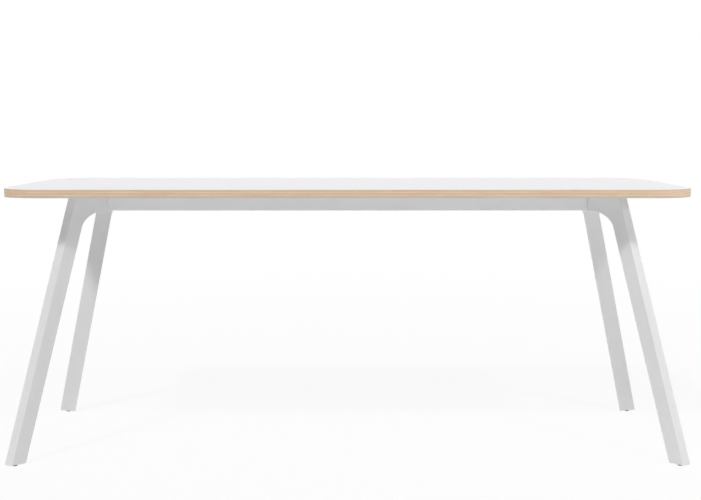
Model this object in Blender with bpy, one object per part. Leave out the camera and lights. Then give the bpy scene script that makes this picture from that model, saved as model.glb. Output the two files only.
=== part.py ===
"""Bar-height table: laminated plywood top, tubular rail frame and four splayed cast legs.

Units are metres and +Z is up. The origin is on the floor, under the middle of the top.
The table's length runs along X, and its front is towards -Y.
Corner pieces are modelled for the rear right corner (+X, +Y) and mirrored to the other three.
"""

import math

import bmesh
import bpy
from mathutils import Matrix, Vector

# Overall size and top
TOP_LENGTH = 2.585
TOP_WIDTH = 1.000
TABLE_HEIGHT = 1.050
TOP_CORNER_RADIUS = 0.158
CORE_THICKNESS = 0.029
SKIN_THICKNESS = 0.0008

# Gap kept between faces that touch, and between a screw and its hole
TOUCH = 0.0003

# Leg casting: a hollow three-sided section that leans towards the middle of the table
LEAN_LENGTHWISE = math.radians(13.0)
LEAN_CROSSWISE = math.radians(8.2)
FOOT_INSET_LENGTHWISE = 0.024
FOOT_INSET_CROSSWISE = 0.045
INNER_FACE_WIDTH = 0.0615
INNER_FACE_ANGLE = math.radians(45.0)
OUTER_FACE_WIDTH = 0.039
OUTER_FACE_ANGLE = math.radians(26.0)
OUTER_TIP_FLAT = 0.0025
LEG_EDGE_WIDTH = 0.0025
LEG_WALL = 0.003

# Leg head: the inner faces reach up to the rails, and the arch runs into its flat underside
HEAD_REACH = 0.1365
HEAD_MARGIN = 0.002
HEAD_WALL = 0.006
HEAD_POCKET_DEPTH = 0.045
ARCH_RISE = 0.048
ARCH_DEPTH = 0.0345
CAVITY_ROOF = 0.015

# Rail tubes and the spigots that carry them
RAIL_HEIGHT = 0.066
RAIL_WIDTH = 0.030
RAIL_WALL = 0.002
RAIL_CORNER_RADIUS = 0.004
RAIL_SETBACK = 0.0015
SPIGOT_LENGTH = 0.040
SPIGOT_ROOT = 0.004

# Tabs that hold the board down on the long rails
TAB_LENGTH = 0.040
TAB_DROP = 0.028
TAB_DEPTH = 0.030
TAB_THICKNESS = 0.003
TAB_SCREW_DROP = 0.018
TAB_SCREW_DEPTH = 0.018
TABS_ON_RAIL = 3

# Bolts and screws: shank radius, head radius, head height, and how deep the shank grips
JOINT_SHANK = 0.004
JOINT_HEAD = 0.0065
JOINT_HEAD_HEIGHT = 0.0045
JOINT_GRIP = 0.012
TAB_SHANK = 0.0025
TAB_HEAD = 0.0047
TAB_HEAD_HEIGHT = 0.003
TAB_GRIP = 0.006
BOARD_SHANK = 0.003
BOARD_HEAD = 0.0055
BOARD_HEAD_HEIGHT = 0.0035
BOARD_GRIP = 0.012

# Threaded inserts in the board
INSERT_WALL = 0.0015
INSERT_LENGTH = 0.014

# Share of a screw head's height that its rounded rim takes
SCREW_RIM_SHARE = 0.35

# Levelling feet
FOOT_GAP = 0.004
STUD_OFFSET = 0.0102
STUD_RADIUS = 0.004
STUD_LENGTH = 0.036
STUD_HEX = 0.010
STUD_HEX_HEIGHT = 0.0017
PAD_RADIUS = 0.009
PAD_BASE = 0.0015
PAD_CHAMFER = 0.0006
PAD_SOCKET_CLEARANCE = 0.0005
PLUG_HEIGHT = 0.022
FOOT_INSERT_WALL = 0.0011
FOOT_INSERT_LENGTH = 0.015

# Facets, and the limits used when faces are compared or points are merged
HEXAGON_SIDES = 6
SMOOTH_ANGLE = math.radians(35.0)
PARALLEL_ANGLE = math.radians(0.5)
MERGE_DISTANCE = 0.00001
CUT_TOLERANCE = 0.000001
CORNER_SEGMENTS = 12
ARCH_SEGMENTS = 10
EDGE_SEGMENTS = 2
TUBE_CORNER_SEGMENTS = 2
SCREW_SEGMENTS = 12
ROUND_SEGMENTS = 20

# Heights that follow from the stack
SKIN_TOP = TABLE_HEIGHT
CORE_TOP = SKIN_TOP - SKIN_THICKNESS - TOUCH
CORE_BOTTOM = CORE_TOP - CORE_THICKNESS
BACKER_TOP = CORE_BOTTOM - TOUCH
BACKER_BOTTOM = BACKER_TOP - SKIN_THICKNESS
FRAME_TOP = BACKER_BOTTOM - TOUCH
FRAME_BOTTOM = FRAME_TOP - RAIL_HEIGHT
FRAME_MIDDLE = (FRAME_TOP + FRAME_BOTTOM) / 2

# Leg section on the floor plane, and how far it moves for each metre of height
LEAN = Vector((-math.tan(LEAN_LENGTHWISE), -math.tan(LEAN_CROSSWISE)))
RIDGE = Vector((TOP_LENGTH / 2 - FOOT_INSET_LENGTHWISE, TOP_WIDTH / 2 - FOOT_INSET_CROSSWISE))
INNER_DIRECTION = Vector((-math.cos(INNER_FACE_ANGLE), -math.sin(INNER_FACE_ANGLE)))
OUTER_DIRECTION = Vector((math.cos(OUTER_FACE_ANGLE), -math.sin(OUTER_FACE_ANGLE)))
INNER_TIP = RIDGE + INNER_DIRECTION * INNER_FACE_WIDTH
OUTER_TIP = RIDGE + OUTER_DIRECTION * OUTER_FACE_WIDTH
SECTION = (RIDGE, INNER_TIP, OUTER_TIP)
BACK_DIRECTION = (OUTER_TIP - INNER_TIP).normalized()
BACK_NORMAL = Vector((BACK_DIRECTION.y, -BACK_DIRECTION.x))

# Head and frame plan, taken from the point where the inner face ends under the board
HEAD_END = RIDGE + LEAN * FRAME_TOP + INNER_DIRECTION * HEAD_REACH
LOW_RIDGE = RIDGE + LEAN * FRAME_BOTTOM
HEAD_END_LOW_Y = LOW_RIDGE.y + INNER_DIRECTION.y / INNER_DIRECTION.x * (HEAD_END.x - LOW_RIDGE.x)
RAIL_OUTER_Y = min(HEAD_END.y, HEAD_END_LOW_Y) - RAIL_SETBACK
RAIL_INNER_Y = RAIL_OUTER_Y - RAIL_WIDTH
RAIL_MIDDLE_Y = (RAIL_OUTER_Y + RAIL_INNER_Y) / 2
RAIL_END_X = HEAD_END.x - TOUCH
HEAD_SIDE_Y = RAIL_INNER_Y - HEAD_MARGIN
CROSS_INNER_X = HEAD_END.x + HEAD_MARGIN
CROSS_OUTER_X = CROSS_INNER_X + RAIL_WIDTH
CROSS_END_Y = HEAD_SIDE_Y - TOUCH
HEAD_BACK = Vector((CROSS_OUTER_X + HEAD_MARGIN, HEAD_SIDE_Y))

# Levelling foot axis: as far from the inner face as from the back face
TIP_HALF_ANGLE = (-INNER_DIRECTION).angle(BACK_DIRECTION) / 2
TIP_BISECTOR = (BACK_DIRECTION - INNER_DIRECTION).normalized()
FOOT_AXIS = INNER_TIP + LEAN * FOOT_GAP + TIP_BISECTOR * (STUD_OFFSET / math.sin(TIP_HALF_ANGLE))

CORNERS = {
    "front_left": (-1, -1),
    "front_right": (1, -1),
    "rear_left": (-1, 1),
    "rear_right": (1, 1),
}
SIDES = {"front": -1, "rear": 1}
TAB_SPACING = 2 * RAIL_END_X / TABS_ON_RAIL
TAB_PLACES = [(place - (TABS_ON_RAIL - 1) / 2) * TAB_SPACING for place in range(TABS_ON_RAIL)]


def clear_scene():
    for item in list(bpy.data.objects):
        bpy.data.objects.remove(item, do_unlink=True)


def make_material(name, colour, roughness, metallic):
    material = bpy.data.materials.new(name)
    material.use_nodes = True
    shader = material.node_tree.nodes["Principled BSDF"]
    shader.inputs["Base Color"].default_value = (*colour, 1.0)
    shader.inputs["Roughness"].default_value = roughness
    shader.inputs["Metallic"].default_value = metallic
    return material


def finish(shape):
    """Turn a bmesh into a mesh with outward faces, and free it."""
    bmesh.ops.recalc_face_normals(shape, faces=shape.faces)
    mesh = bpy.data.meshes.new("piece")
    shape.to_mesh(mesh)
    shape.free()
    return mesh


def add_object(name, mesh, material, location=(0.0, 0.0, 0.0), parent=None, smooth=False):
    mesh.name = name
    mesh.materials.clear()
    mesh.materials.append(material)
    if smooth:
        mesh.shade_smooth()
        mesh.set_sharp_from_angle(angle=SMOOTH_ANGLE)
    piece = bpy.data.objects.new(name, mesh)
    bpy.context.scene.collection.objects.link(piece)
    piece.parent = parent
    piece.location = location
    return piece


def add_empty(name, location=(0.0, 0.0, 0.0), parent=None):
    empty = bpy.data.objects.new(name, None)
    bpy.context.scene.collection.objects.link(empty)
    empty.parent = parent
    empty.location = location
    return empty


def moved(mesh, offset):
    mesh.transform(Matrix.Translation(offset))
    return mesh


def mirrored(mesh, x_sign, y_sign):
    """A copy of a corner piece's mesh, mirrored into another corner."""
    copy = mesh.copy()
    copy.transform(Matrix.Diagonal((x_sign, y_sign, 1.0, 1.0)))
    if x_sign * y_sign < 0:
        copy.flip_normals()
    return copy


def joined(meshes):
    """Several separate solids in one mesh."""
    shape = bmesh.new()
    for mesh in meshes:
        shape.from_mesh(mesh)
    result = bpy.data.meshes.new("group")
    shape.to_mesh(result)
    shape.free()
    return result


def combine(mesh, tool, operation):
    """Boolean of two meshes, as a new mesh."""
    body = bpy.data.objects.new("body", mesh)
    knife = bpy.data.objects.new("knife", tool)
    for item in (body, knife):
        bpy.context.scene.collection.objects.link(item)
    modifier = body.modifiers.new("combine", "BOOLEAN")
    modifier.operation = operation
    modifier.object = knife
    graph = bpy.context.evaluated_depsgraph_get()
    result = bpy.data.meshes.new_from_object(body.evaluated_get(graph))
    for item in (body, knife):
        bpy.data.objects.remove(item, do_unlink=True)
    return result


def inset_polygon(points, distance):
    """Move every side of a convex outline inwards by one distance."""
    centre = sum(points, Vector((0.0, 0.0))) / len(points)
    sides = []
    for start, end in zip(points, points[1:] + points[:1]):
        along = (end - start).normalized()
        normal = Vector((-along.y, along.x))
        if (centre - start).dot(normal) < 0:
            normal.negate()
        sides.append((start + normal * distance, along))
    result = []
    for (point_a, along_a), (point_b, along_b) in zip(sides[-1:] + sides[:-1], sides):
        cross = along_a.x * along_b.y - along_a.y * along_b.x
        gap = point_b - point_a
        reach = (gap.x * along_b.y - gap.y * along_b.x) / cross
        result.append(point_a + along_a * reach)
    return result


def rounded_rectangle(length, width, radius, segments):
    """Outline points of a rectangle with round corners, anticlockwise from the +X +Y corner."""
    points = []
    for quarter, (x_sign, y_sign) in enumerate(((1, 1), (-1, 1), (-1, -1), (1, -1))):
        centre = Vector((x_sign * (length / 2 - radius), y_sign * (width / 2 - radius)))
        for step in range(segments + 1):
            angle = (quarter + step / segments) * math.pi / 2
            points.append(centre + radius * Vector((math.cos(angle), math.sin(angle))))
    return points


def prism(points, bottom, top, lean=Vector((0.0, 0.0))):
    """Extrude a plan outline from one height to another, leaning as it rises."""
    shape = bmesh.new()
    base = [shape.verts.new((*(point + lean * bottom), bottom)) for point in points]
    face = shape.faces.new(base)
    grown = bmesh.ops.extrude_face_region(shape, geom=[face])
    upper = [item for item in grown["geom"] if isinstance(item, bmesh.types.BMVert)]
    rise = top - bottom
    bmesh.ops.translate(shape, verts=upper, vec=(*(lean * rise), rise))
    return finish(shape)


def turned(profile, segments):
    """Spin a (radius, height) outline that starts and ends on the Z axis, or closes on itself."""
    shape = bmesh.new()
    points = [shape.verts.new((radius, 0.0, height)) for radius, height in profile]
    edges = [shape.edges.new(pair) for pair in zip(points, points[1:])]
    if profile[0][0] > 0:
        edges.append(shape.edges.new((points[-1], points[0])))
    bmesh.ops.spin(
        shape,
        geom=points + edges,
        axis=(0.0, 0.0, 1.0),
        cent=(0.0, 0.0, 0.0),
        angle=math.tau,
        steps=segments,
        use_merge=True,
    )
    bmesh.ops.remove_doubles(shape, verts=shape.verts, dist=MERGE_DISTANCE)
    return finish(shape)


def rod(radius, start, end, segments):
    """Solid round bar between two points."""
    start = Vector(start)
    run = Vector(end) - start
    bar = turned(((0.0, 0.0), (radius, 0.0), (radius, run.length), (0.0, run.length)), segments)
    bar.transform(Matrix.Translation(start) @ run.to_track_quat("Z", "Y").to_matrix().to_4x4())
    return bar


def tube(length, outline_outer, outline_inner):
    """Hollow tube with open ends, along X, centred on the origin."""
    shape = bmesh.new()
    rings = []
    for outline in (outline_outer, outline_inner):
        ring = [shape.verts.new((-length / 2, point.x, point.y)) for point in outline]
        rings.extend(shape.edges.new(pair) for pair in zip(ring, ring[1:] + ring[:1]))
    end_face = bmesh.ops.bridge_loops(shape, edges=rings)["faces"]
    grown = bmesh.ops.extrude_face_region(shape, geom=end_face)
    far_end = [item for item in grown["geom"] if isinstance(item, bmesh.types.BMVert)]
    bmesh.ops.translate(shape, verts=far_end, vec=(length, 0.0, 0.0))
    return finish(shape)


def screw(shank_radius, head_radius, head_height, length):
    """Pan-head screw on the Z axis: the head hangs below zero, the shank rises above it."""
    rim = head_height * SCREW_RIM_SHARE
    profile = (
        (0.0, -head_height),
        (head_radius - rim, -head_height),
        (head_radius, -head_height + rim),
        (head_radius, 0.0),
        (shank_radius, 0.0),
        (shank_radius, length),
        (0.0, length),
    )
    return turned(profile, SCREW_SEGMENTS)


def cut_away(shape, point, normal):
    """Cut a closed shape with a plane, keep the side behind the normal and close the cut."""
    bmesh.ops.bisect_plane(
        shape,
        geom=shape.verts[:] + shape.edges[:] + shape.faces[:],
        dist=CUT_TOLERANCE,
        plane_co=point,
        plane_no=normal,
        clear_outer=True,
    )
    bmesh.ops.holes_fill(shape, edges=[edge for edge in shape.edges if edge.is_boundary])


def side_normal(start, end, inside):
    """Plan normal of a side, pointing away from a point inside the outline."""
    along = (end - start).normalized()
    normal = Vector((along.y, -along.x))
    if (inside - start).dot(normal) > 0:
        normal.negate()
    return Vector((*normal, 0.0))


def leg_blank():
    """Outside of a leg casting: a bracket profile run along the back face, cut by the other faces.

    The cuts are made upright. The shape is then leaned, and the two rail faces are cut last,
    because they stand upright on the finished leg.
    """
    half_run = TOP_WIDTH / 2
    start = INNER_TIP - BACK_DIRECTION * half_run
    profile = [(-half_run, FOOT_GAP), (0.0, FOOT_GAP)]
    for step in range(ARCH_SEGMENTS + 1):
        angle = math.pi / 2 * step / ARCH_SEGMENTS
        depth = ARCH_DEPTH * (1 - math.cos(angle))
        height = FRAME_BOTTOM - ARCH_RISE * (1 - math.sin(angle))
        profile.append((depth, height))
    profile += [(half_run, FRAME_BOTTOM), (half_run, FRAME_TOP), (-half_run, FRAME_TOP)]

    shape = bmesh.new()
    outline = [shape.verts.new((*(start + BACK_NORMAL * depth), height)) for depth, height in profile]
    face = shape.faces.new(outline)
    grown = bmesh.ops.extrude_face_region(shape, geom=[face])
    far_end = [item for item in grown["geom"] if isinstance(item, bmesh.types.BMVert)]
    bmesh.ops.translate(shape, verts=far_end, vec=(*(BACK_DIRECTION * 2 * half_run), 0.0))
    bmesh.ops.recalc_face_normals(shape, faces=shape.faces)

    upright_back = HEAD_BACK - LEAN * FRAME_TOP
    cut_away(shape, (*RIDGE, 0.0), side_normal(RIDGE, INNER_TIP, OUTER_TIP))
    cut_away(shape, (*RIDGE, 0.0), side_normal(RIDGE, OUTER_TIP, INNER_TIP))
    cut_away(shape, (*OUTER_TIP, 0.0), side_normal(OUTER_TIP, upright_back, INNER_TIP))
    tip_inward = (-OUTER_DIRECTION - BACK_DIRECTION).normalized()
    tip_half_angle = OUTER_DIRECTION.angle(BACK_DIRECTION) / 2
    tip_flat = OUTER_TIP + tip_inward * (OUTER_TIP_FLAT / 2 / math.tan(tip_half_angle))
    cut_away(shape, (*tip_flat, 0.0), (*-tip_inward, 0.0))
    leaning = Matrix.Identity(4)
    leaning[0][2] = LEAN.x
    leaning[1][2] = LEAN.y
    bmesh.ops.transform(shape, matrix=leaning, verts=shape.verts)
    cut_away(shape, (HEAD_END.x, 0.0, 0.0), (-1.0, 0.0, 0.0))
    cut_away(shape, (0.0, HEAD_SIDE_Y, 0.0), (0.0, -1.0, 0.0))
    bmesh.ops.remove_doubles(shape, verts=shape.verts, dist=MERGE_DISTANCE)
    bmesh.ops.recalc_face_normals(shape, faces=shape.faces)
    round_inner_face(shape)
    return finish(shape)


def faces_along(face, direction):
    return face.normal.angle(direction) < PARALLEL_ANGLE


def is_seat_face(face):
    """True for the faces that meet the board, the floor gap and the rails."""
    square = any(faces_along(face, axis) for axis in Matrix.Identity(3))
    square = square or any(faces_along(face, -axis) for axis in Matrix.Identity(3))
    return square and not is_head_underside(face)


def is_head_underside(face):
    high = face.calc_center_median().z > FRAME_BOTTOM - TOUCH
    return high and faces_along(face, Vector((0.0, 0.0, -1.0)))


def round_inner_face(shape):
    """Round the inner face's long edges and the arch. Edges on seat faces stay sharp."""
    plan = side_normal(RIDGE, INNER_TIP, OUTER_TIP)
    outward = Vector((plan.x, plan.y, -plan.xy.dot(LEAN))).normalized()
    inner_faces = [face for face in shape.faces if faces_along(face, outward)]
    chosen = []
    for edge in {edge for face in inner_faces for edge in face.edges}:
        if not any(is_seat_face(face) for face in edge.link_faces):
            chosen.append(edge)
    bmesh.ops.bevel(
        shape,
        geom=chosen,
        offset=LEG_EDGE_WIDTH,
        offset_type="WIDTH",
        segments=EDGE_SEGMENTS,
        profile=0.5,
        affect="EDGES",
    )


def spigot(length, root):
    """Solid tongue that fills a rail tube's bore, along X from -root to length."""
    inner_radius = RAIL_CORNER_RADIUS - RAIL_WALL
    play = 2 * (RAIL_WALL + TOUCH)
    outline = rounded_rectangle(
        RAIL_WIDTH - play, RAIL_HEIGHT - play, inner_radius, TUBE_CORNER_SEGMENTS
    )
    shape = bmesh.new()
    base = [shape.verts.new((-root, point.x, point.y)) for point in outline]
    face = shape.faces.new(base)
    grown = bmesh.ops.extrude_face_region(shape, geom=[face])
    far_end = [item for item in grown["geom"] if isinstance(item, bmesh.types.BMVert)]
    bmesh.ops.translate(shape, verts=far_end, vec=(length + root, 0.0, 0.0))
    return finish(shape)


def screw_hole(seat, direction, shank_radius, depth):
    """Cutter for a screw's hole, from just outside its seat."""
    seat = Vector(seat)
    direction = Vector(direction)
    return rod(
        shank_radius + TOUCH,
        seat - direction * JOINT_HEAD_HEIGHT,
        seat + direction * depth,
        SCREW_SEGMENTS,
    )


def rail_bolt_seat(x_sign, y_sign):
    """Seat point and direction of the bolt that fastens a long rail to a leg's spigot."""
    along = RAIL_END_X - SPIGOT_LENGTH / 2
    return (x_sign * along, y_sign * RAIL_INNER_Y, FRAME_MIDDLE), (0, y_sign, 0)


def cross_bolt_seat(x_sign, y_sign):
    """Seat point and direction of the bolt that fastens a cross rail to a leg's spigot."""
    across = CROSS_END_Y - SPIGOT_LENGTH / 2
    return (x_sign * CROSS_INNER_X, y_sign * across, FRAME_MIDDLE), (x_sign, 0, 0)


def joint_bolt_length():
    return RAIL_WALL + TOUCH + JOINT_GRIP


def joint_hole(seat):
    """Cutter for a joint bolt's hole, which ends just past the bolt's tip."""
    point, direction = seat
    return screw_hole(point, direction, JOINT_SHANK, joint_bolt_length() + TOUCH)


def leg_casting():
    """Leg for the rear right corner, with its hollow, the head pocket and both rail spigots."""
    casting = leg_blank()
    rail_tongue = spigot(SPIGOT_LENGTH, SPIGOT_ROOT)
    rail_tongue.transform(
        Matrix.Translation((HEAD_END.x, RAIL_MIDDLE_Y, FRAME_MIDDLE)) @ Matrix.Rotation(math.pi, 4, "Z")
    )
    cross_tongue = spigot(SPIGOT_LENGTH, SPIGOT_ROOT)
    cross_middle = (CROSS_INNER_X + CROSS_OUTER_X) / 2
    cross_tongue.transform(
        Matrix.Translation((cross_middle, HEAD_SIDE_Y, FRAME_MIDDLE))
        @ Matrix.Rotation(-math.pi / 2, 4, "Z")
    )
    casting = combine(casting, joined([rail_tongue, cross_tongue]), "UNION")

    hollow = inset_polygon(list(SECTION), LEG_WALL)
    roof = FRAME_BOTTOM - ARCH_RISE - CAVITY_ROOF
    cavity = prism(hollow, -FOOT_GAP, roof, LEAN)
    head_outline = [
        RIDGE + LEAN * FRAME_TOP,
        HEAD_END,
        Vector((HEAD_END.x, HEAD_SIDE_Y)),
        HEAD_BACK,
        OUTER_TIP + LEAN * FRAME_TOP,
    ]
    pocket_outline = [point - LEAN * FRAME_TOP for point in inset_polygon(head_outline, HEAD_WALL)]
    pocket = prism(pocket_outline, FRAME_TOP - HEAD_POCKET_DEPTH, FRAME_TOP + HEAD_WALL, LEAN)
    bolt_holes = [joint_hole(rail_bolt_seat(1, 1)), joint_hole(cross_bolt_seat(1, 1))]
    return combine(casting, joined([cavity, pocket, *bolt_holes]), "DIFFERENCE")


def rail_tube(length):
    outer = rounded_rectangle(RAIL_WIDTH, RAIL_HEIGHT, RAIL_CORNER_RADIUS, TUBE_CORNER_SEGMENTS)
    inner = rounded_rectangle(
        RAIL_WIDTH - 2 * RAIL_WALL,
        RAIL_HEIGHT - 2 * RAIL_WALL,
        RAIL_CORNER_RADIUS - RAIL_WALL,
        TUBE_CORNER_SEGMENTS,
    )
    return tube(length, outer, inner)


def tab_seat(place, y_sign):
    """Seat point and direction of the screw that fastens a tab to its rail."""
    face = RAIL_INNER_Y - TOUCH - TAB_THICKNESS
    return (place, y_sign * face, FRAME_TOP - TAB_SCREW_DROP), (0, y_sign, 0)


def board_seat(place, y_sign):
    """Seat point and direction of the screw that fastens the board to a tab."""
    across = RAIL_INNER_Y - TOUCH - TAB_SCREW_DEPTH
    return (place, y_sign * across, FRAME_TOP - TAB_THICKNESS), (0, 0, 1)


def tab_screw_length():
    return TAB_THICKNESS + TOUCH + TAB_GRIP


def board_screw_length():
    return TAB_THICKNESS + TOUCH + SKIN_THICKNESS + TOUCH + BOARD_GRIP


def insert_bore():
    return BOARD_SHANK + TOUCH


def insert_radius():
    return insert_bore() + INSERT_WALL


def build_top(parent, laminate, plywood, backer):
    outline = rounded_rectangle(TOP_LENGTH, TOP_WIDTH, TOP_CORNER_RADIUS, CORNER_SEGMENTS)
    skin = prism(outline, SKIN_TOP - SKIN_THICKNESS, SKIN_TOP)
    add_object("top_laminate", skin, laminate, parent=parent)

    hole_radius = insert_radius() + TOUCH
    hole_top = CORE_BOTTOM + INSERT_LENGTH + TOUCH
    holes = []
    for y_sign in SIDES.values():
        for place in TAB_PLACES:
            x, y, _ = board_seat(place, y_sign)[0]
            holes.append(rod(hole_radius, (x, y, FRAME_TOP), (x, y, hole_top), ROUND_SEGMENTS))
    core = combine(prism(outline, CORE_BOTTOM, CORE_TOP), joined(holes), "DIFFERENCE")
    add_object("top_board", core, plywood, parent=parent)
    lower_skin = combine(prism(outline, BACKER_BOTTOM, BACKER_TOP), joined(holes), "DIFFERENCE")
    add_object("underside_laminate", lower_skin, backer, parent=parent)


def build_rails(parent, paint):
    for side, y_sign in SIDES.items():
        place = Vector((0.0, y_sign * RAIL_MIDDLE_Y, FRAME_MIDDLE))
        rail = moved(rail_tube(2 * RAIL_END_X), place)
        holes = [joint_hole(rail_bolt_seat(x_sign, y_sign)) for x_sign in (-1, 1)]
        for tab_place in TAB_PLACES:
            point, direction = tab_seat(tab_place, y_sign)
            holes.append(screw_hole(point, direction, TAB_SHANK, tab_screw_length()))
        rail = combine(rail, joined(holes), "DIFFERENCE")
        add_object(f"{side}_rail", moved(rail, -place), paint, place, parent)

    quarter = Matrix.Rotation(math.pi / 2, 4, "Z")
    cross_middle = (CROSS_INNER_X + CROSS_OUTER_X) / 2
    for side, x_sign in (("left", -1), ("right", 1)):
        place = Vector((x_sign * cross_middle, 0.0, FRAME_MIDDLE))
        rail = rail_tube(2 * CROSS_END_Y)
        rail.transform(Matrix.Translation(place) @ quarter)
        holes = [joint_hole(cross_bolt_seat(x_sign, y_sign)) for y_sign in (-1, 1)]
        rail = combine(rail, joined(holes), "DIFFERENCE")
        add_object(f"{side}_cross_rail", moved(rail, -place), paint, place, parent)


def fixing_tab():
    """Angle tab for the rear rail: one leg on the rail, the other under the board."""
    back = RAIL_INNER_Y - TOUCH
    outline = (
        (back, FRAME_TOP),
        (back, FRAME_TOP - TAB_DROP),
        (back - TAB_THICKNESS, FRAME_TOP - TAB_DROP),
        (back - TAB_THICKNESS, FRAME_TOP - TAB_THICKNESS),
        (back - TAB_DEPTH, FRAME_TOP - TAB_THICKNESS),
        (back - TAB_DEPTH, FRAME_TOP),
    )
    shape = bmesh.new()
    face = shape.faces.new([shape.verts.new((-TAB_LENGTH / 2, y, z)) for y, z in outline])
    grown = bmesh.ops.extrude_face_region(shape, geom=[face])
    far_end = [item for item in grown["geom"] if isinstance(item, bmesh.types.BMVert)]
    bmesh.ops.translate(shape, verts=far_end, vec=(TAB_LENGTH, 0.0, 0.0))
    rail_point, rail_direction = tab_seat(0.0, 1)
    board_point, board_direction = board_seat(0.0, 1)
    cutters = [
        screw_hole(rail_point, rail_direction, TAB_SHANK, tab_screw_length()),
        screw_hole(board_point, board_direction, BOARD_SHANK, board_screw_length()),
    ]
    return combine(finish(shape), joined(cutters), "DIFFERENCE")


def board_insert():
    """Threaded sleeve that the board screw turns into."""
    bore = insert_bore()
    outer = insert_radius()
    profile = ((bore, 0.0), (outer, 0.0), (outer, INSERT_LENGTH), (bore, INSERT_LENGTH))
    return turned(profile, ROUND_SEGMENTS)


def add_screw(name, pattern, seat, material, parent):
    """Place a screw with its head just off its seat."""
    point, direction = seat
    direction = Vector(direction)
    head = Vector(point) - direction * TOUCH
    shape = pattern.copy()
    shape.transform(direction.to_track_quat("Z", "Y").to_matrix().to_4x4())
    add_object(name, shape, material, head, parent, smooth=True)


def build_board_fixings(parent, zinc, brass):
    tab = fixing_tab()
    sleeve = board_insert()
    tab_screw = screw(TAB_SHANK, TAB_HEAD, TAB_HEAD_HEIGHT, tab_screw_length())
    board_screw = screw(BOARD_SHANK, BOARD_HEAD, BOARD_HEAD_HEIGHT, board_screw_length())
    for side, y_sign in SIDES.items():
        home = Vector((0.0, y_sign * (RAIL_INNER_Y - TOUCH), FRAME_TOP))
        local_tab = moved(mirrored(tab, 1, y_sign), -home)
        for number, place in enumerate(TAB_PLACES, start=1):
            spot = home + Vector((place, 0.0, 0.0))
            add_object(f"fixing_tab_{side}_{number}", local_tab.copy(), zinc, spot, parent)
            add_screw(f"tab_screw_{side}_{number}", tab_screw, tab_seat(place, y_sign), zinc, parent)
            seat = board_seat(place, y_sign)
            add_screw(f"board_screw_{side}_{number}", board_screw, seat, zinc, parent)
            foot = (seat[0][0], seat[0][1], CORE_BOTTOM)
            add_object(f"board_insert_{side}_{number}", sleeve.copy(), brass, foot, parent, smooth=True)


def build_joint_bolts(parent, zinc):
    bolt = screw(JOINT_SHANK, JOINT_HEAD, JOINT_HEAD_HEIGHT, joint_bolt_length())
    for corner, (x_sign, y_sign) in CORNERS.items():
        add_screw(f"{corner}_rail_bolt", bolt, rail_bolt_seat(x_sign, y_sign), zinc, parent)
        add_screw(f"{corner}_cross_bolt", bolt, cross_bolt_seat(x_sign, y_sign), zinc, parent)


def foot_plug():
    """Plug in the leg's open end, with an upright hole for the threaded insert."""
    outline = inset_polygon(list(SECTION), LEG_WALL + TOUCH)
    plug = prism(outline, FOOT_GAP, FOOT_GAP + PLUG_HEIGHT, LEAN)
    hole_radius = STUD_RADIUS + TOUCH + FOOT_INSERT_WALL + TOUCH
    low = (*FOOT_AXIS, 0.0)
    high = (*FOOT_AXIS, FOOT_GAP + PLUG_HEIGHT + FOOT_GAP)
    return combine(plug, rod(hole_radius, low, high, ROUND_SEGMENTS), "DIFFERENCE")


def foot_insert():
    bore = STUD_RADIUS + TOUCH
    outer = bore + FOOT_INSERT_WALL
    low = FOOT_GAP + TOUCH
    high = low + FOOT_INSERT_LENGTH
    return turned(((bore, low), (outer, low), (outer, high), (bore, high)), ROUND_SEGMENTS)


def levelling_stud():
    """Threaded stud with a thin hexagon at its foot, which sits in the pad's socket."""
    foot = PAD_BASE + TOUCH
    neck = foot + STUD_HEX_HEIGHT
    corner = STUD_HEX / math.sqrt(3)
    hexagon = turned(((0.0, foot), (corner, foot), (corner, neck), (0.0, neck)), HEXAGON_SIDES)
    root = foot + STUD_HEX_HEIGHT / 2
    shank = rod(STUD_RADIUS, (0.0, 0.0, root), (0.0, 0.0, foot + STUD_LENGTH), ROUND_SEGMENTS)
    return combine(hexagon, shank, "UNION")


def glide_pad():
    """Round pad with a flat, chamfered underside and a socket for the stud's hexagon."""
    rim = FOOT_GAP - TOUCH
    socket = STUD_HEX / math.sqrt(3) + PAD_SOCKET_CLEARANCE
    profile = (
        (0.0, 0.0),
        (PAD_RADIUS - PAD_CHAMFER, 0.0),
        (PAD_RADIUS, PAD_CHAMFER),
        (PAD_RADIUS, rim),
        (socket, rim),
        (socket, PAD_BASE),
        (0.0, PAD_BASE),
    )
    return turned(profile, ROUND_SEGMENTS)


def build_legs(parent, paint, plug_plastic, brass, zinc, glide_plastic):
    home = Vector((*FOOT_AXIS, 0.0))
    casting = moved(leg_casting(), -home)
    plug = moved(foot_plug(), -home)
    insert = foot_insert()
    stud = levelling_stud()
    pad = glide_pad()
    for corner, (x_sign, y_sign) in CORNERS.items():
        foot = add_empty(
            f"{corner}_foot_axis", (x_sign * FOOT_AXIS.x, y_sign * FOOT_AXIS.y, 0.0), parent
        )
        leg = mirrored(casting, x_sign, y_sign)
        add_object(f"{corner}_leg", leg, paint, parent=foot)
        own_plug = mirrored(plug, x_sign, y_sign)
        add_object(f"{corner}_foot_plug", own_plug, plug_plastic, parent=foot)
        add_object(f"{corner}_foot_insert", insert.copy(), brass, parent=foot, smooth=True)
        add_object(f"{corner}_levelling_stud", stud.copy(), zinc, parent=foot, smooth=True)
        add_object(f"{corner}_glide_pad", pad.copy(), glide_plastic, parent=foot, smooth=True)


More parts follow.
